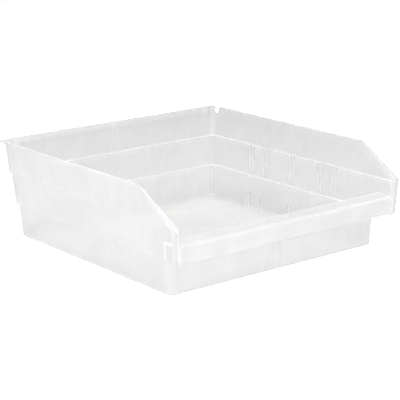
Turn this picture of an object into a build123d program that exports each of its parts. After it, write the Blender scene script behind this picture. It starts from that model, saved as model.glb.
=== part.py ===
from build123d import *
import os
from math import tan, radians

# A hopper-front shelf bin: one injection moulding in natural polypropylene.
# Frame: origin at the middle of the rest plane, X across, front towards -Y, Z up.
# All sizes are in millimetres and all angles in degrees.

# Outside of the whole bin
overall_width = 282.6
overall_depth = 295.3
overall_height = 101.6

# Shell: three wall tiers, each one set in from the tier above
wall_thickness = 2.1
floor_thickness = 1.8
side_draft = 4.3
rear_draft = 3.4
front_draft = 1.5
lower_ledge_height = 34.8
upper_ledge_height = 68.1
ledge_step = 1.9
ledge_thickness = 1.3
corner_radius = 8.0
floor_edge_radius = 4.0
inner_floor_radius = 1.4

# Thick rim along the side tops, the slopes and the front edges
rim_overhang = 1.5
rim_depth = 3.2
slope_run = 51.8
slope_foot_height = 71.5
front_edge_depth = 2.6
front_edge_lean = 2.7

# Front wall with its hollow pull lip and label panel
front_wall_setback = 22.3
lip_height = 54.4
lip_thickness = 2.1
panel_bottom_height = 36.1
panel_thickness = 2.1
panel_recess = 0.8
lip_rear_radius = 1.8
lip_front_radius = 1.2
lip_end_root = 1.5
centre_rib_width = 1.8
centre_rib_reach = 0.8
centre_rib_foot_height = 13.6

# Hang flange behind the back wall, its gussets, and a hang notch in each side
hang_flange_reach = 3.8
hang_flange_thickness = 2.2
hang_flange_end_gap = 1.3
hang_flange_lap = 3.4
gusset_thickness = 3.0
gusset_spacing = 124.0
gusset_foot_height = 63.6
gusset_inset = 0.5
notch_depth = 6.8
notch_floor_width = 4.2
notch_rear_run = 3.8
notch_front_run = 2.4
notch_rear_gap = 9.2

# Divider slots: pairs of slim ribs inside the side walls, counted from the rear
slot_pitch = 22.0
first_slot_from_rear = 79.8
ledge_slots = (0, 1, 3, 5, 6)
floor_slots = (0, 1, 3, 5, 6, 8)
slot_width = 4.0
slot_rib_width = 1.3
ledge_rib_reach = 2.1
floor_rib_reach = 1.4
floor_rib_height = 16.3

# How far cutting blocks run past the bin, and how far joined details run into a wall
past = 30.0
root = 0.8

# Places worked out from the sizes above
half_width = overall_width / 2
half_depth = overall_depth / 2
rear_wall_y = half_depth - hang_flange_reach
front_wall_y = -half_depth + front_wall_setback
lower_floor_z = lower_ledge_height + ledge_thickness
upper_floor_z = upper_ledge_height + ledge_thickness
slope_top_y = -half_depth + slope_run
inner_radius = corner_radius - wall_thickness
rim_rear_y = rear_wall_y + rim_overhang
open_front = -half_depth - past


def side_x(z, steps):
    """Outer half width of the side walls at height z, after a number of ledge steps."""
    return half_width - rim_overhang - (overall_height - z) * tan(radians(side_draft)) - steps * ledge_step


def rear_y(z, steps):
    """Outer face of the back wall at height z, after a number of ledge steps."""
    return rear_wall_y - (overall_height - z) * tan(radians(rear_draft)) - steps * ledge_step


def front_y(z):
    """Outer face of the front wall at height z."""
    return front_wall_y - z * tan(radians(front_draft))


def edge_y(z):
    """Foremost face of the side walls' front edges, which lean back below the slope."""
    return -half_depth + (slope_foot_height - z) * tan(radians(front_edge_lean))


def edge_x(z):
    """Outer half width of the front edges below the slope."""
    return half_width - (slope_foot_height - z) * tan(radians(side_draft))


def rounded_block(levels, radius, mode=Mode.ADD):
    """Straight-sided block through rounded rectangles, each given as z, half width, front y and rear y."""
    outlines = []
    for z, half_x, y_front, y_rear in levels:
        with BuildSketch(Plane.XY.offset(z)) as outline:
            with Locations((0, (y_front + y_rear) / 2)):
                RectangleRounded(2 * half_x, y_rear - y_front, radius)
        outlines.append(outline.sketch)
    loft(outlines, ruled=True, mode=mode)


def outer_level(z, steps, y_front):
    """Outside of the walls at height z, as a level of a rounded block."""
    return z, side_x(z, steps), y_front, rear_y(z, steps)


def inner_level(z, steps, y_front):
    """Inside of the walls at height z, as a level of a rounded block."""
    return z, side_x(z, steps) - wall_thickness, y_front, rear_y(z, steps) - wall_thickness


def side_prism(points, x_from, x_to, mode=Mode.ADD):
    """Prism on an outline of (y, z) points, between two x values, and its mirror image."""
    for side in (1, -1):
        with BuildSketch(Plane.YZ.offset(side * x_from)) as outline:
            with BuildLine():
                Polyline(points, close=True)
            make_face()
        extrude(outline.sketch, amount=side * (x_to - x_from), mode=mode)


def panel_y(z):
    """Outer face of the label panel, which hangs parallel to the front edges."""
    return edge_y(z) + panel_recess


def slot_y(count):
    """Middle of a divider slot, counted in pitches from the first one at the rear."""
    return half_depth - first_slot_from_rear - count * slot_pitch


def slot_ribs(points, counts):
    """Both ribs of each divider slot on both side walls, from the (x, z) points of the right-hand rib.

    Slots that would come within a slot's width of the front wall are left out.
    """
    foremost_y = front_y(0) + wall_thickness + slot_width
    for count in counts:
        if slot_y(count) < foremost_y:
            continue
        for side in (1, -1):
            for rib in (1, -1):
                rib_y = slot_y(count) + rib * (slot_width + slot_rib_width) / 2
                with BuildSketch(Plane.XZ.offset(-rib_y)) as outline:
                    with BuildLine():
                        Polyline([(side * x, z) for x, z in points], close=True)
                    make_face()
                extrude(outline.sketch, amount=slot_rib_width / 2, both=True)


# Inner corner of the rim band where the top meets the slope, and where the slope meets the front edge
slope_drop = overall_height - slope_foot_height
slope_length = (slope_run ** 2 + slope_drop ** 2) ** 0.5
slope_grade = slope_drop / slope_run
band_drop = rim_depth * slope_length / slope_run
band_top_y = slope_top_y + (band_drop - rim_depth) / slope_grade
band_foot_y = -half_depth + front_edge_depth
band_foot_z = slope_foot_height - band_drop + front_edge_depth * slope_grade

with BuildPart() as bin_moulding:
    # Solid tiers, the two upper ones carried past the front edge, and the rim round the top
    rounded_block([outer_level(0, 2, front_y(0)),
                   outer_level(lower_ledge_height, 2, front_y(lower_ledge_height))], corner_radius)
    rounded_block([outer_level(lower_ledge_height, 1, open_front),
                   outer_level(upper_ledge_height, 1, open_front)], corner_radius)
    rounded_block([outer_level(upper_ledge_height, 0, open_front),
                   outer_level(overall_height, 0, open_front)], corner_radius)
    rounded_block([(overall_height - rim_depth, half_width, open_front, rim_rear_y),
                   (overall_height, half_width, open_front, rim_rear_y)], corner_radius + rim_overhang)

    # Slope and leaning front edge of the side walls
    side_prism([(slope_top_y, overall_height), (-half_depth, slope_foot_height),
                (edge_y(0), 0), (open_front - past, 0), (open_front - past, overall_height)],
               0, half_width + past, mode=Mode.SUBTRACT)

    # Rim band down the slopes and front edges, its outer face drawn in below the slope
    side_prism([(slope_top_y, overall_height), (-half_depth, slope_foot_height),
                (edge_y(lower_ledge_height), lower_ledge_height),
                (edge_y(lower_ledge_height) + front_edge_depth, lower_ledge_height),
                (band_foot_y, band_foot_z), (band_top_y, overall_height - rim_depth),
                (band_top_y, overall_height)],
               side_x(0, 2) - wall_thickness, half_width)
    for side in (1, -1):
        with BuildSketch(Plane.XZ.offset(half_depth + past)) as outside:
            with BuildLine():
                Polyline([(side * half_width, slope_foot_height), (side * edge_x(0), 0),
                          (side * (half_width + past), 0), (side * (half_width + past), slope_foot_height)],
                         close=True)
            make_face()
        extrude(outside.sketch, amount=-overall_depth, mode=Mode.SUBTRACT)

    # Hang flange, carried past the rear corners
    with BuildSketch(Plane.XY.offset(overall_height)) as flange:
        with Locations((0, half_depth - (hang_flange_reach + hang_flange_lap) / 2)):
            Rectangle(2 * (half_width - hang_flange_end_gap), hang_flange_reach + hang_flange_lap)
    extrude(flange.sketch, amount=-hang_flange_thickness)

    # Gussets under the hang flange
    with BuildSketch(Plane.YZ) as gusset:
        with BuildLine():
            Polyline([(rear_y(gusset_foot_height, 1) - root, gusset_foot_height),
                      (rear_y(upper_ledge_height, 0), upper_ledge_height),
                      (half_depth - gusset_inset, overall_height - hang_flange_thickness),
                      (rear_wall_y - root, overall_height - hang_flange_thickness),
                      (rear_y(upper_ledge_height, 1) - root, upper_ledge_height)], close=True)
        make_face()
    for place in (-1, 0, 1):
        with Locations((place * gusset_spacing, 0, 0)):
            add(extrude(gusset.sketch, amount=gusset_thickness / 2, both=True, mode=Mode.PRIVATE))

    # Inside of the three tiers
    rounded_block([inner_level(floor_thickness, 2, front_y(floor_thickness) + wall_thickness),
                   inner_level(lower_floor_z, 2, front_y(lower_floor_z) + wall_thickness)], inner_radius,
                  mode=Mode.SUBTRACT)
    rounded_block([inner_level(lower_floor_z, 1, open_front),
                   inner_level(upper_floor_z, 1, open_front)], inner_radius, mode=Mode.SUBTRACT)
    rounded_block([inner_level(upper_floor_z, 0, open_front),
                   inner_level(overall_height, 0, open_front)], inner_radius, mode=Mode.SUBTRACT)

    # Inner radius where the walls meet the floor
    floor_face = bin_moulding.faces().filter_by(Axis.Z).group_by(Axis.Z)[1].sort_by(SortBy.AREA)[-1]
    fillet(floor_face.outer_wire().edges(), inner_floor_radius)

    # Finger space in front of the front wall, open below
    finger_half = side_x(lower_ledge_height, 1) - wall_thickness
    with BuildSketch(Plane.XY.offset(lower_ledge_height)) as finger_space:
        with Locations((0, (open_front + front_y(lower_ledge_height)) / 2)):
            Rectangle(2 * finger_half, front_y(lower_ledge_height) - open_front)
    extrude(finger_space.sketch, amount=ledge_thickness, mode=Mode.SUBTRACT)

    # Upper front wall, lip and label panel as one folded profile
    lip_under_z = lip_height - lip_thickness
    with BuildSketch(Plane.YZ) as lip:
        with BuildLine():
            Polyline([(front_y(lower_ledge_height), lower_ledge_height),
                      (front_y(lower_ledge_height) + wall_thickness, lower_ledge_height),
                      (front_y(lip_height) + wall_thickness, lip_height), (panel_y(lip_height), lip_height),
                      (panel_y(panel_bottom_height), panel_bottom_height),
                      (panel_y(panel_bottom_height) + panel_thickness, panel_bottom_height),
                      (panel_y(lip_under_z) + panel_thickness, lip_under_z),
                      (front_y(lip_under_z), lip_under_z)], close=True)
        make_face()
        fillet(lip.vertices().group_by(Axis.Y)[-1].sort_by(Axis.X)[-1], lip_rear_radius)
        fillet(lip.vertices().group_by(Axis.Y)[-1].sort_by(Axis.X)[0], lip_front_radius)
    extrude(lip.sketch, amount=side_x(lower_ledge_height, 1) - wall_thickness + lip_end_root, both=True)

    # Rib down the middle of the front wall
    with BuildSketch(Plane.YZ) as centre_rib:
        with BuildLine():
            Polyline([(front_y(centre_rib_foot_height), centre_rib_foot_height),
                      (front_y(centre_rib_foot_height + centre_rib_reach) - centre_rib_reach,
                       centre_rib_foot_height + centre_rib_reach),
                      (front_y(lip_under_z) - centre_rib_reach, lip_under_z),
                      (front_y(lip_under_z) + root, lip_under_z),
                      (front_y(centre_rib_foot_height) + root, centre_rib_foot_height)], close=True)
        make_face()
    extrude(centre_rib.sketch, amount=centre_rib_width / 2, both=True)

    # Divider slots under the upper ledge
    rib_face_x = side_x(upper_floor_z, 1) - wall_thickness - ledge_rib_reach
    rib_foot_z = upper_floor_z - ledge_rib_reach / tan(radians(side_draft))
    slot_ribs([(rib_face_x, rib_foot_z), (rib_face_x, upper_floor_z),
               (rib_face_x + ledge_rib_reach + root, upper_floor_z), (rib_face_x + root, rib_foot_z)],
              ledge_slots)

    # Divider slots on the floor
    slot_foot_x = side_x(floor_thickness, 2) - wall_thickness
    slot_top_x = side_x(floor_rib_height, 2) - wall_thickness
    slot_ribs([(slot_foot_x - floor_rib_reach, floor_thickness - root),
               (slot_top_x - floor_rib_reach, floor_rib_height - floor_rib_reach),
               (slot_top_x, floor_rib_height), (slot_top_x + root, floor_rib_height),
               (slot_foot_x + root, floor_thickness - root)], floor_slots)

    # Hang notch in the rim of each side, near its rear end
    notch_rear_y = half_depth - notch_rear_gap
    notch_front_y = notch_rear_y - notch_floor_width
    notch_floor_z = overall_height - notch_depth
    side_prism([(notch_rear_y + notch_rear_run, overall_height), (notch_rear_y, notch_floor_z),
                (notch_front_y, notch_floor_z), (notch_front_y - notch_front_run, overall_height)],
               side_x(overall_height, 0) - corner_radius, half_width + past, mode=Mode.SUBTRACT)

    # Rounded edges
    fillet(bin_moulding.faces().sort_by(Axis.Z)[0].outer_wire().edges(), floor_edge_radius)

bin_moulding.part.label = "bin_moulding"
os.makedirs("parts", exist_ok=True)
export_step(bin_moulding.part, "parts/bin_moulding.step")
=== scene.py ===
"""Dresses the shelf bin: a moulding in natural polypropylene, its studio and the photograph's camera."""

from __future__ import annotations

import logging
import math
from dataclasses import dataclass, field
from enum import Enum

import bmesh
import bpy
import numpy as np
from mathutils import Matrix, Vector

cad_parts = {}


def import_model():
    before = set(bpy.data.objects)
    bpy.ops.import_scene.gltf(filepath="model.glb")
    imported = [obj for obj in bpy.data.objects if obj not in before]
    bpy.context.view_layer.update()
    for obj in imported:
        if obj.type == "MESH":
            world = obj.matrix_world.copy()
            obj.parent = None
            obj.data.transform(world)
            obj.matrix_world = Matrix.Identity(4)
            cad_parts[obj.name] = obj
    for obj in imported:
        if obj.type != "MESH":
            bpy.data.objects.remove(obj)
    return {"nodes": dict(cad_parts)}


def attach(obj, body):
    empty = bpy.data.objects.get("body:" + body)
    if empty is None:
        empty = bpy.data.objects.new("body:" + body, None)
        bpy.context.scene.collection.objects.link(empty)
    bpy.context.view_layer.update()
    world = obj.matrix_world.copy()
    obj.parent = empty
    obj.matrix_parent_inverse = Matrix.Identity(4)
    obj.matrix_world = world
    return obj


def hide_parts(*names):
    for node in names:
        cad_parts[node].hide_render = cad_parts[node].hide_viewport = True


LOG = logging.getLogger("shelf_bin")
MM = 0.001
WHITE = "#FFFFFF"
THICKNESS_AND_HIGHLIGHT = "moulded_thickness_and_painted_highlight"

# Inputs that share their names with others on the node, so they are found by number
FIRST, SECOND = 0, 1
FACTOR, NUMBER_A, NUMBER_B, COLOUR_A, COLOUR_B = 0, 2, 3, 6, 7

# Most of a noise texture's values lie between these two
NOISE_LOW, NOISE_HIGH = 0.3, 0.7


class Mark(Enum):
    """How milky the plastic is on a face: 0 on a plain wall, more where it is thick, a painted highlight on
    the upward faces of the rim and the ledges, and less on faces made more see-through.
    """

    RIB = 1.0
    # Painted highlights on the upward faces of the ledges and of the rim, as if lit from above
    LEDGE_HIGHLIGHT = 0.65
    RIM_TOP_HIGHLIGHT = 0.3
    RIM_SLOPE_HIGHLIGHT = 0.1
    WALL = 0.0
    # More see-through: on the slot ribs' sides it keeps their shade from showing, which is painted light
    SEE_THROUGH = -1.0


def linear(colour: str) -> tuple[float, float, float, float]:
    """Turn an sRGB hex colour into the linear RGBA that shaders work in.

    Args:
        colour: Six hex digits after a hash, such as "#F4F4F2".

    Returns:
        Linear red, green, blue and an alpha of 1.
    """
    channels = (int(colour[i : i + 2], 16) / 255 for i in (1, 3, 5))
    red, green, blue = (c / 12.92 if c <= 0.04045 else ((c + 0.055) / 1.055) ** 2.4 for c in channels)
    return red, green, blue, 1.0


def towards(azimuth: float, elevation: float) -> Vector:
    """Point from the bin to a lamp or to the camera.

    Args:
        azimuth: Degrees round from straight in front, counted towards +X.
        elevation: Degrees up from level.

    Returns:
        A direction one unit long.
    """
    around, up = math.radians(azimuth), math.radians(elevation)
    return Vector((math.sin(around) * math.cos(up), -math.cos(around) * math.cos(up), math.sin(up)))


def add_node(tree: bpy.types.NodeTree, kind: str, links: dict[str | int, object] | None = None,
             **settings: object) -> bpy.types.Node:
    """Add a node, set its properties and inputs, and link what feeds it.

    Args:
        tree: The node tree that gets the node.
        kind: The node's type, such as "ShaderNodeTexNoise".
        links: Input name or number to the output that feeds it, or to a plain value.
        **settings: The node's own properties, such as operation="MULTIPLY".

    Returns:
        The new node.
    """
    node = tree.nodes.new(kind)
    for name, value in settings.items():
        setattr(node, name, value)
    for name, source in (links or {}).items():
        if isinstance(source, bpy.types.NodeSocket):
            tree.links.new(source, node.inputs[name])
        else:
            node.inputs[name].default_value = source
    return node


def backdrop_level(tree: bpy.types.NodeTree, bare: float, behind: float,
                   light: float) -> bpy.types.NodeSocket:
    """Work out how bright the backdrop is, by the kind of ray that meets it.

    The photograph's background was made white around the bin, and kept its own level behind the plastic.

    Args:
        tree: The node tree of the floor's material or of the world.
        bare: Level for the camera past the object, and for glossy and transmission rays.
        behind: Level for the camera through the object's plastic.
        light: Level for the rays that light the object.

    Returns:
        The level.
    """
    half_a_face = 0.5
    ray = add_node(tree, "ShaderNodeLightPath").outputs
    through = add_node(tree, "ShaderNodeMath", {
        FIRST: ray["Transparent Depth"], SECOND: half_a_face}, operation="GREATER_THAN")
    camera = add_node(tree, "ShaderNodeMapRange", {
        "Value": through.outputs[0], "To Min": bare, "To Max": behind})
    mirror = add_node(tree, "ShaderNodeMath", {
        FIRST: ray["Is Glossy Ray"], SECOND: ray["Is Transmission Ray"]}, operation="MAXIMUM")
    other = add_node(tree, "ShaderNodeMapRange", {
        "Value": mirror.outputs[0], "To Min": light, "To Max": bare})
    return add_node(tree, "ShaderNodeMix", {
        FACTOR: ray["Is Camera Ray"], NUMBER_A: other.outputs[0], NUMBER_B: camera.outputs[0]}).outputs[0]


def new_material(name: str) -> tuple[bpy.types.Material, bpy.types.NodeTree]:
    """Make an empty node material.

    Args:
        name: The material's name.

    Returns:
        The material and its node tree, with no nodes in it.
    """
    material = bpy.data.materials.new(name)
    material.use_nodes = True
    material.node_tree.nodes.clear()
    return material, material.node_tree


@dataclass(frozen=True)
class Drift:
    """A soft change of the plastic's opacity from place to place, as the flow of the melt leaves it.

    Attributes:
        size: Width, depth and height of one patch.
        detail: How many finer layers the noise has.
        opacity: The most that a patch adds or takes.
    """

    size: tuple[float, float, float]
    detail: float
    opacity: float

    def build(self, tree: bpy.types.NodeTree, place: bpy.types.NodeSocket) -> bpy.types.NodeSocket:
        """Add the pattern: noise over the place divided by the patch's size.

        Args:
            tree: The material's node tree.
            place: The point's place on the object, in metres.

        Returns:
            What the pattern adds to the opacity.
        """
        drawn = add_node(tree, "ShaderNodeMapping", {
            "Vector": place, "Scale": tuple(1 / side for side in self.size)})
        noise = add_node(tree, "ShaderNodeTexNoise", {
            "Vector": drawn.outputs[0], "Scale": 1.0, "Detail": self.detail})
        return add_node(tree, "ShaderNodeMapRange", {
            "Value": noise.outputs[0], "From Min": NOISE_LOW, "From Max": NOISE_HIGH,
            "To Min": -self.opacity, "To Max": self.opacity}).outputs[0]


@dataclass(frozen=True)
class NaturalPolypropylene:
    """Unpigmented clarified polypropylene, injection moulded in a lightly polished mould.

    To the eye it is milky clear. Each face lets most light straight through and scatters the rest inside
    the wall, so walls behind walls show faintly, thick parts are whiter, and highlights are soft and wide.
    """

    name: str = "natural_polypropylene_moulded"
    colour: str = "#F8F8F6"
    ior: float = 1.49
    roughness: float = 0.3
    opacity: float = 0.28
    scatter_depth: float = 2.5 * MM

    # Thick places, and the painted highlights on upward rim and ledge faces and along edges, are whiter and
    # let less through, and faces marked see-through let more through
    thick_or_highlight_colour: str = "#FEFEFD"
    thick_or_highlight_opacity: float = 0.68
    thick_or_highlight_scatter: float = 0.3
    see_through_opacity: float = 0.17

    # Thickness is measured by rays cast into the plastic: how far they look, the shares of them that meet
    # no other side in a plain wall and in a thick place, and how much the measure counts
    thick_reach: float = 6.0 * MM
    thick_rays: int = 16
    plain_share: float = 0.22
    thick_share: float = 0.45
    measured_weight: float = 0.45

    # Mould makers round every edge a little: the shading is rounded there, and a painted highlight, whiter
    # and less clear, is laid along each edge
    edge_softness: float = 0.9 * MM
    edge_rays: int = 8
    edge_highlight_turn: float = 0.08
    edge_highlight_share: float = 0.2

    # The mould's own grain is near 0.05 mm, too fine to show, so it is drawn as coarse as close views need
    grain: float = 0.6 * MM
    grain_depth: float = 0.004 * MM
    grain_detail: float = 2.0

    # Faint clouds, and streaks drawn upwards with the flow
    drifts: tuple[Drift, ...] = (
        Drift(size=(30.0 * MM, 30.0 * MM, 30.0 * MM), detail=3.0, opacity=0.012),
        Drift(size=(5.0 * MM, 5.0 * MM, 70.0 * MM), detail=1.0, opacity=0.005),
    )

    def thickness_and_highlight(self, tree: bpy.types.NodeTree, soft: bpy.types.NodeSocket,
                  marked: bpy.types.NodeSocket) -> bpy.types.NodeSocket:
        """Find how thick the plastic is under a point, and add the painted highlights.

        It is the largest of the face's mark, what rays cast into the plastic measure, and a painted
        highlight along each edge, as strong as the rounded surface turns from the flat one there. The
        face's mark holds the painted highlights on upward rim and ledge faces too. Light that reaches a
        thick or highlighted place is passed on inside the plastic, so shadow rays find a plain wall
        everywhere.

        Args:
            tree: The material's node tree.
            soft: The surface's direction with its edges rounded.
            marked: The mark of the face.

        Returns:
            A value from 0 on a plain wall to 1 at the thickest or most highlighted place.
        """
        here = add_node(tree, "ShaderNodeNewGeometry").outputs
        turn = add_node(tree, "ShaderNodeMapRange", {
            "Value": here["Backfacing"], "To Min": 1.0, "To Max": -1.0})
        outwards = add_node(tree, "ShaderNodeVectorMath", {
            FIRST: here["Normal"], "Scale": turn.outputs[0]}, operation="SCALE")
        free = add_node(tree, "ShaderNodeAmbientOcclusion", {
            "Distance": self.thick_reach, "Normal": outwards.outputs[0]},
            samples=self.thick_rays, inside=True, only_local=True)
        measured = add_node(tree, "ShaderNodeMapRange", {
            "Value": free.outputs["AO"], "From Min": self.plain_share, "From Max": self.thick_share},
            interpolation_type="SMOOTHSTEP")
        kept = add_node(tree, "ShaderNodeMapRange", {
            "Value": marked, "From Min": Mark.SEE_THROUGH.value, "From Max": Mark.WALL.value,
            "To Min": 0.0, "To Max": self.measured_weight})
        thick_or_highlight = add_node(tree, "ShaderNodeMath", {
            FIRST: measured.outputs[0], SECOND: kept.outputs[0]}, operation="MULTIPLY")
        thick_or_highlight = add_node(tree, "ShaderNodeMath", {
            FIRST: thick_or_highlight.outputs[0], SECOND: marked}, operation="MAXIMUM")
        # Painted highlight: whiter and less clear along each edge, as far as the rounded direction turns
        # from the flat one
        along = add_node(tree, "ShaderNodeVectorMath", {
            FIRST: soft, SECOND: here["Normal"]}, operation="DOT_PRODUCT")
        edge = add_node(tree, "ShaderNodeMapRange", {
            "Value": along.outputs["Value"], "From Min": 1.0, "From Max": 1.0 - self.edge_highlight_turn,
            "To Min": 0.0, "To Max": self.edge_highlight_share})
        thick_or_highlight = add_node(tree, "ShaderNodeMath", {
            FIRST: thick_or_highlight.outputs[0], SECOND: edge.outputs[0]}, operation="MAXIMUM")
        shadow = add_node(tree, "ShaderNodeLightPath").outputs["Is Shadow Ray"]
        return add_node(tree, "ShaderNodeMix", {
            FACTOR: shadow, NUMBER_A: thick_or_highlight.outputs[0], NUMBER_B: 0.0}).outputs[0]

    def build(self) -> bpy.types.Material:
        """Build the material.

        Returns:
            The finished node material.
        """
        material, tree = new_material(self.name)
        place = add_node(tree, "ShaderNodeTexCoord").outputs["Object"]
        marked = add_node(tree, "ShaderNodeAttribute", attribute_name=THICKNESS_AND_HIGHLIGHT).outputs["Fac"]
        soft = add_node(tree, "ShaderNodeBevel", {"Radius": self.edge_softness}, samples=self.edge_rays)
        thick_or_highlight = self.thickness_and_highlight(tree, soft.outputs[0], marked)
        grain = add_node(tree, "ShaderNodeTexNoise", {
            "Vector": place, "Scale": 1 / self.grain, "Detail": self.grain_detail})
        relief = add_node(tree, "ShaderNodeBump", {
            "Distance": self.grain_depth, "Height": grain.outputs[0], "Normal": soft.outputs[0]})
        opacity = add_node(tree, "ShaderNodeMapRange", {
            "Value": thick_or_highlight, "To Min": self.opacity, "To Max": self.thick_or_highlight_opacity}).outputs[0]
        # Faces marked see-through let more through; on the slot ribs' sides this is painted light against
        # their shade
        see_through = add_node(tree, "ShaderNodeMapRange", {
            "Value": marked, "From Min": Mark.SEE_THROUGH.value, "From Max": Mark.WALL.value,
            "To Min": self.see_through_opacity - self.opacity, "To Max": 0.0}).outputs[0]
        for change in (see_through, *(drift.build(tree, place) for drift in self.drifts)):
            opacity = add_node(tree, "ShaderNodeMath", {
                FIRST: opacity, SECOND: change}, operation="ADD").outputs[0]
        scatter = add_node(tree, "ShaderNodeMapRange", {
            "Value": thick_or_highlight, "To Min": 1.0, "To Max": self.thick_or_highlight_scatter})
        # Thick places and painted highlights take the whiter colour
        colour = add_node(tree, "ShaderNodeMix", {
            FACTOR: thick_or_highlight, COLOUR_A: linear(self.colour), COLOUR_B: linear(self.thick_or_highlight_colour)},
            data_type="RGBA")
        body = add_node(tree, "ShaderNodeBsdfPrincipled", {
            "Base Color": colour.outputs[2], "Roughness": self.roughness, "IOR": self.ior, "Alpha": opacity,
            "Subsurface Weight": scatter.outputs[0], "Subsurface Radius": (1.0, 1.0, 1.0),
            "Subsurface Scale": self.scatter_depth, "Normal": relief.outputs[0]})
        add_node(tree, "ShaderNodeOutputMaterial", {"Surface": body.outputs[0]})
        return material


@dataclass(frozen=True)
class WhiteSweep:
    """Matt white paper: it has no shine, and the camera sees it as plain white round the bin's shadow."""

    name: str = "white_paper_sweep"
    colour: str = "#F0F0F0"
    glow: float = 0.9
    glow_behind: float = 0.0

    def build(self) -> bpy.types.Material:
        """Build the material.

        Returns:
            The finished node material.
        """
        material, tree = new_material(self.name)
        paper = add_node(tree, "ShaderNodeBsdfDiffuse", {"Color": linear(self.colour)})
        glow = add_node(tree, "ShaderNodeEmission", {
            "Strength": backdrop_level(tree, self.glow, self.glow_behind, 0.0)})
        both = add_node(tree, "ShaderNodeAddShader", {FIRST: paper.outputs[0], SECOND: glow.outputs[0]})
        add_node(tree, "ShaderNodeOutputMaterial", {"Surface": both.outputs[0]})
        return material


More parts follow.
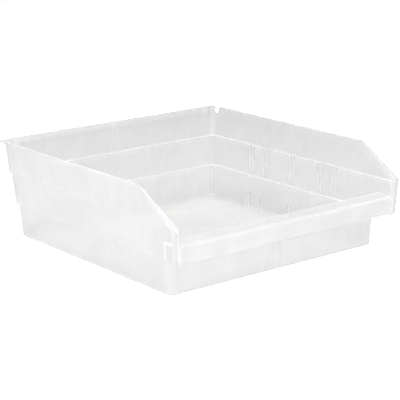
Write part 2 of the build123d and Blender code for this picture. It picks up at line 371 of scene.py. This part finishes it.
@dataclass
class BinMoulding:
    """The whole bin, one moulding: the CAD node's shape with the rounded edges of a moulded part."""

    name: str = "moulding"
    node: str = "bin_moulding"
    body: str = "root"
    slot: str = "natural_polypropylene"
    finish: NaturalPolypropylene = field(default_factory=NaturalPolypropylene)

    # Joining the CAD node's triangles into flat faces: the grid that corners are matched on, and degrees
    weld_grid: float = 0.002 * MM
    flat_angle: float = 0.25

    # Rounding the long sharp edges, with angles in degrees
    edge_radius: float = 0.4 * MM
    edge_segments: int = 3
    edge_profile: float = 0.5
    edge_angle: float = 40.0
    run_on_angle: float = 25.0
    shortest_run: float = 8.0 * MM
    shortest_edge: float = 0.35 * MM

    # Telling the faces apart: parts of a direction that count as square on, sloping or upright
    square_on: float = 0.995
    rim_tilt: float = 0.4
    ledge_tilt: float = 0.15
    upright: float = 0.2
    corner_turn: float = 0.96

    # Telling the faces apart: places and areas
    rim_above: float = 71.0 * MM
    ledge_tops: tuple[float, ...] = (36.1 * MM, 69.4 * MM)
    ledge_band: float = 0.7 * MM
    slot_stretch: float = 112.0 * MM
    rib_area: float = 42.0 * MM * MM
    corner_area: float = 8.0 * MM * MM

    def welded(self) -> tuple[np.ndarray, np.ndarray]:
        """Join the CAD node's loose triangles where their corners meet.

        Corners are the same where they round to the same point of a fine cubic grid.

        Returns:
            Corner points in metres, and triangles as rows of three corner numbers.
        """
        mesh = bpy.data.objects[self.node].data
        points = np.empty(len(mesh.vertices) * 3)
        mesh.vertices.foreach_get("co", points)
        corners = np.empty(len(mesh.loops), int)
        mesh.loops.foreach_get("vertex_index", corners)
        points = points.reshape(-1, 3)
        grid = np.round(points / self.weld_grid).astype(np.int64)
        _, first, same = np.unique(grid, axis=0, return_index=True, return_inverse=True)
        triangles = same.ravel()[corners].reshape(-1, 3)
        whole = (np.diff(np.sort(triangles, axis=1), axis=1) > 0).all(axis=1)
        return points[first], triangles[whole]

    def joined_runs(self, ends: np.ndarray, way: np.ndarray) -> np.ndarray:
        """Join edges that meet almost in line into runs.

        Each edge is listed from both of its ends, in the order of their corners, so that edges of one
        corner stand side by side and are compared one, two, three and more places apart. Each edge then
        takes the lowest number that reaches it along its run.

        Args:
            ends: The two corner numbers of each edge.
            way: Each edge's direction, one unit long, from its first corner to its second.

        Returns:
            The run's number for each edge.
        """
        edge = np.tile(np.arange(len(ends)), 2)
        corner = ends.T.ravel()
        away = np.concatenate([way, -way])
        order = np.argsort(corner, kind="stable")
        edge, corner, away = edge[order], corner[order], away[order]
        in_line = -math.cos(math.radians(self.run_on_angle))
        pairs = []
        for apart in range(1, int(np.bincount(corner).max())):
            meet = corner[apart:] == corner[:-apart]
            meet &= (away[apart:] * away[:-apart]).sum(axis=1) < in_line
            pairs.append(np.stack([edge[apart:][meet], edge[:-apart][meet]]))
        one, other = np.concatenate(pairs, axis=1)
        run, before = np.arange(len(ends)), None
        while before is None or (run != before).any():
            before = run.copy()
            lowest = np.minimum(run[one], run[other])
            np.minimum.at(run, one, lowest)
            np.minimum.at(run, other, lowest)
        return run

    def long_sharp_edges(self, shape: bmesh.types.BMesh, mesh: bpy.types.Mesh) -> list[bmesh.types.BMEdge]:
        """Find the edges that a mould maker would break: sharp ones, in runs long enough to be seen.

        Edges beside a tiny edge are left out, because a rounding wider than the tiny edge would fold over.

        Args:
            shape: The moulding, with its flat faces whole.
            mesh: The same moulding as a mesh, with its corners and edges in the same order.

        Returns:
            The edges to round.
        """
        edges = list(shape.edges)
        points, ends = np.empty(len(mesh.vertices) * 3), np.empty(len(edges) * 2, int)
        mesh.vertices.foreach_get("co", points)
        mesh.edges.foreach_get("vertices", ends)
        points, ends = points.reshape(-1, 3), ends.reshape(-1, 2)
        span = points[ends[:, 1]] - points[ends[:, 0]]
        length = np.linalg.norm(span, axis=1)
        turn = np.array([edge.calc_face_angle(0.0) for edge in edges])
        sharp = np.flatnonzero(turn > math.radians(self.edge_angle))
        run = self.joined_runs(ends[sharp], span[sharp] / length[sharp, None])
        long_run = np.bincount(run, length[sharp])[run] > self.shortest_run
        beside_tiny = np.isin(ends[sharp], ends[length < self.shortest_edge]).any(axis=1)
        return [edges[number] for number in sharp[long_run & ~beside_tiny]]

    def mark_thickness_and_highlights(self, mesh: bpy.types.Mesh) -> None:
        """Mark each face with how milky it is, or with a painted highlight.

        The inner faces of the slot ribs are marked thick. The rim's level tops and its slopes and the
        ledges' upward faces get a painted highlight. The sides of the slot ribs are made more see-through,
        so that their shade shows less, which is painted light, and so are the upright facets of the rear
        corners.

        Args:
            mesh: The moulding's finished mesh.
        """
        count = len(mesh.polygons)
        area, normal, centre = (np.empty(count * size, np.float32) for size in (1, 3, 3))
        mesh.polygons.foreach_get("area", area)
        mesh.polygons.foreach_get("normal", normal)
        mesh.polygons.foreach_get("center", centre)
        across, along, upwards = normal.reshape(-1, 3).T
        _, rearwards, height = centre.reshape(-1, 3).T
        # The rim's and the ledges' upward faces are marked for a painted highlight, as if lit from above
        rim = (upwards > self.rim_tilt) & (height > self.rim_above)
        ledge = np.any([(upwards > self.ledge_tilt) & (np.abs(height - level) < self.ledge_band)
                        for level in self.ledge_tops], axis=0)
        slim = (np.abs(rearwards) < self.slot_stretch) & (area < self.rib_area)
        rib = slim & (np.abs(across) > self.square_on)
        # The sides of the slot ribs are made more see-through so that their shade shows less: painted light
        rib_side = slim & (np.abs(along) > self.square_on)
        rear_corner = ((np.abs(upwards) < self.upright) & (area > self.corner_area) & (rearwards > 0)
                       & (np.maximum(np.abs(across), np.abs(along)) < self.corner_turn))
        faces = [rim & (upwards > self.square_on), rim, ledge, rib, rear_corner | rib_side]
        marks = [Mark.RIM_TOP_HIGHLIGHT, Mark.RIM_SLOPE_HIGHLIGHT, Mark.LEDGE_HIGHLIGHT, Mark.RIB, Mark.SEE_THROUGH]
        value = np.select(faces, [mark.value for mark in marks], Mark.WALL.value).astype(np.float32)
        mesh.attributes.new(THICKNESS_AND_HIGHLIGHT, "FLOAT", "FACE").data.foreach_set("value", value)

    def build(self) -> bpy.types.Object:
        """Build the moulding's mesh, with its flat faces whole and its edges rounded.

        Returns:
            The moulding's object, riding on the bin's body.
        """
        points, triangles = self.welded()
        mesh = bpy.data.meshes.new(self.name)
        mesh.from_pydata(points.tolist(), [], triangles.tolist())
        shape = bmesh.new()
        shape.from_mesh(mesh)
        bmesh.ops.dissolve_limit(shape, angle_limit=math.radians(self.flat_angle), verts=shape.verts,
                                 edges=shape.edges)
        shape.to_mesh(mesh)
        bmesh.ops.bevel(shape, geom=self.long_sharp_edges(shape, mesh), offset=self.edge_radius,
                        profile=self.edge_profile, segments=self.edge_segments, affect="EDGES",
                        clamp_overlap=False)
        shape.to_mesh(mesh)
        shape.free()
        mesh.shade_smooth()
        self.mark_thickness_and_highlights(mesh)
        piece = bpy.data.objects.new(self.name, mesh)
        bpy.context.scene.collection.objects.link(piece)
        shading = piece.modifiers.new("flat_faces_stay_flat", "WEIGHTED_NORMAL")
        shading.keep_sharp = True
        mesh.set_sharp_from_angle(angle=math.radians(self.edge_angle))
        mesh.materials.append(self.finish.build())
        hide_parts(self.node)
        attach(piece, self.body)
        return piece


@dataclass(frozen=True)
class Softbox:
    """A square soft lamp: where it hangs round the bin in degrees and metres, its side and its watts."""

    name: str
    azimuth: float
    elevation: float
    distance: float
    side: float
    power: float

    def build(self, aim: Vector) -> bpy.types.Object:
        """Hang the lamp.

        Args:
            aim: The point that the lamp faces.

        Returns:
            The lamp's object.
        """
        lamp = bpy.data.lights.new(self.name, "AREA")
        lamp.energy = self.power
        lamp.size = self.side
        holder = bpy.data.objects.new(self.name, lamp)
        away = towards(self.azimuth, self.elevation)
        holder.location = aim + away * self.distance
        holder.rotation_euler = (-away).to_track_quat("-Z", "Y").to_euler()
        bpy.context.scene.collection.objects.link(holder)
        return holder


@dataclass
class Studio:
    """A white sweep and soft light from above, from the left and from the front."""

    sky: float = 0.0
    backdrop_behind: float = 0.56
    floor_half: float = 4.0
    floor_drop: float = 0.3 * MM
    aim: tuple[float, float, float] = (0.0, 0.0, 40.0 * MM)
    lamps: tuple[Softbox, ...] = (
        Softbox("top_softbox", azimuth=0.0, elevation=90.0, distance=1.3, side=1.2, power=14.6),
        Softbox("left_strip", azimuth=-100.0, elevation=8.0, distance=1.5, side=0.6, power=7.5),
        Softbox("key_softbox", azimuth=-60.0, elevation=35.0, distance=1.5, side=1.0, power=5.4),
        Softbox("front_softbox", azimuth=-10.0, elevation=25.0, distance=1.5, side=1.0, power=9.2),
        Softbox("front_strip", azimuth=-10.0, elevation=8.0, distance=1.5, side=0.6, power=3.4),
    )

    def sweep(self) -> bpy.types.Object:
        """Lay the paper: a flat square floor, a hair below the bin so that the two don't share a plane.

        Returns:
            The floor's object.
        """
        mesh = bpy.data.meshes.new("floor")
        half = self.floor_half
        mesh.from_pydata([(-half, -half, 0), (half, -half, 0), (half, half, 0), (-half, half, 0)], [],
                         [(0, 1, 2, 3)])
        mesh.materials.append(WhiteSweep().build())
        floor = bpy.data.objects.new("floor", mesh)
        bpy.context.scene.collection.objects.link(floor)
        floor.location.z = -self.floor_drop
        return floor

    def backdrop(self) -> bpy.types.World:
        """Show white where the camera sees past the bin and the floor.

        Returns:
            The world.
        """
        world = bpy.data.worlds.new("studio")
        world.use_nodes = True
        tree = world.node_tree
        tree.nodes.clear()
        light = add_node(tree, "ShaderNodeBackground", {
            "Color": linear(WHITE), "Strength": backdrop_level(tree, 1.0, self.backdrop_behind, self.sky)})
        add_node(tree, "ShaderNodeOutputWorld", {"Surface": light.outputs[0]})
        bpy.context.scene.world = world
        return world

    def build(self) -> list[bpy.types.Object]:
        """Set up the floor, the world and the lamps.

        Returns:
            The floor and the lamps.
        """
        self.backdrop()
        return [self.sweep(), *(lamp.build(Vector(self.aim)) for lamp in self.lamps)]


@dataclass
class PhotoCamera:
    """The photograph's camera, found by fitting the bin's edges to it, with its angles in degrees."""

    name: str = "photo_camera"
    azimuth: float = -38.107
    elevation: float = 15.040
    roll: float = -0.540
    distance: float = 1451.1 * MM
    aim: tuple[float, float, float] = (9.43 * MM, 5.32 * MM, 40.84 * MM)
    lens: float = 127.3
    sensor: float = 36.0

    def build(self) -> bpy.types.Object:
        """Set up the camera.

        Returns:
            The camera object, which is made the scene's camera.
        """
        data = bpy.data.cameras.new(self.name)
        data.lens = self.lens
        data.sensor_width = self.sensor
        camera = bpy.data.objects.new(self.name, data)
        back = towards(self.azimuth, self.elevation)
        turn = (-back).to_track_quat("-Z", "Y").to_matrix().to_4x4()
        place = Matrix.Translation(Vector(self.aim) + back * self.distance)
        camera.matrix_world = place @ turn @ Matrix.Rotation(math.radians(self.roll), 4, "Z")
        bpy.context.scene.collection.objects.link(camera)
        bpy.context.scene.camera = camera
        return camera


def main() -> None:
    """Build the bin's looks around its frame, then its studio and camera."""
    logging.basicConfig(level=logging.INFO)
    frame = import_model()
    LOG.info("frame holds %s", sorted(frame["nodes"]))
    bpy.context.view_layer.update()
    piece = BinMoulding().build()
    LOG.info("%s: %d corners, %d faces", piece.name, len(piece.data.vertices), len(piece.data.polygons))
    for item in (*Studio().build(), PhotoCamera().build()):
        LOG.info("%s: in place", item.name)
    bpy.context.scene.view_settings.view_transform = "Standard"


if __name__ == "__main__":
    main()
